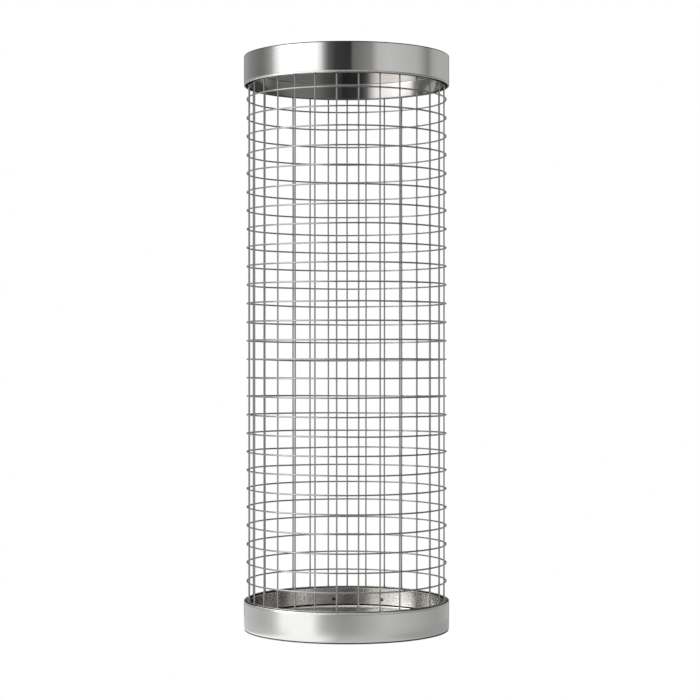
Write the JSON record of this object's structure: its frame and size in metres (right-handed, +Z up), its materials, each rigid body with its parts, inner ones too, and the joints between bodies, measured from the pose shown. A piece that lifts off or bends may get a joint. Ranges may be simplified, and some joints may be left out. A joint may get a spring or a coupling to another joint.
{
  "type": "umbrella stand",
  "caption": "Tall open umbrella stand: a cylinder of welded steel wire between two satin steel bands, with a weighted base and a lift-out drip tray.",
  "frame": {"origin": "centre of the ring-shaped foot on the floor, on the stand's own axis", "axes": "+Z up along the stand's axis, -Y the front that faces the viewer, +X to the viewer's right"},
  "size_m": [0.1974, 0.1974, 0.55],
  "materials": {
    "satin_steel": "satin, brushed around the band",
    "inner_steel": "satin, brushed around the ring",
    "wire_steel": "bright drawn wire, resistance welded",
    "tray_steel": "satin sheet",
    "plate_steel": "mill finish sheet",
    "ballast_steel": "black painted steel",
    "screw_steel": "zinc plated",
    "rivet_steel": "dull",
    "foot_rubber": "matt black"
  },
  "bodies": {
    "stand": {"top_band": "satin_steel", "top_retaining_ring": "inner_steel", "bottom_band": "satin_steel", "bottom_retaining_ring": "inner_steel", "ring_rivets": "rivet_steel", "base_plate": "plate_steel", "ballast_disc": "ballast_steel", "ballast_screws": "screw_steel", "foot_ring": "foot_rubber", "ring_wire_01": "wire_steel", "ring_wire_02": "wire_steel", "ring_wire_03": "wire_steel", "ring_wire_04": "wire_steel", "ring_wire_05": "wire_steel", "ring_wire_06": "wire_steel", "ring_wire_07": "wire_steel", "ring_wire_08": "wire_steel", "ring_wire_09": "wire_steel", "ring_wire_10": "wire_steel", "ring_wire_11": "wire_steel", "ring_wire_12": "wire_steel", "ring_wire_13": "wire_steel", "ring_wire_14": "wire_steel", "ring_wire_15": "wire_steel", "ring_wire_16": "wire_steel", "ring_wire_17": "wire_steel", "ring_wire_18": "wire_steel", "ring_wire_19": "wire_steel", "ring_wire_20": "wire_steel", "ring_wire_21": "wire_steel", "ring_wire_22": "wire_steel", "ring_wire_23": "wire_steel", "ring_wire_24": "wire_steel", "ring_wire_25": "wire_steel", "ring_wire_26": "wire_steel", "ring_wire_27": "wire_steel", "ring_wire_28": "wire_steel", "ring_wire_29": "wire_steel", "uprights_01": "wire_steel", "uprights_02": "wire_steel", "uprights_03": "wire_steel", "uprights_04": "wire_steel", "uprights_05": "wire_steel", "uprights_06": "wire_steel", "uprights_07": "wire_steel", "uprights_08": "wire_steel", "uprights_09": "wire_steel", "uprights_10": "wire_steel", "uprights_11": "wire_steel", "uprights_12": "wire_steel", "uprights_13": "wire_steel", "uprights_14": "wire_steel", "uprights_15": "wire_steel"},
    "tray": {"drip_tray": "tray_steel"}
  },
  "joints": [
    {"name": "tray_lift", "type": "slide", "parent": "stand", "child": "tray", "axis": [0, 0, 1], "range_m": [0, 0.56]}
  ]
}
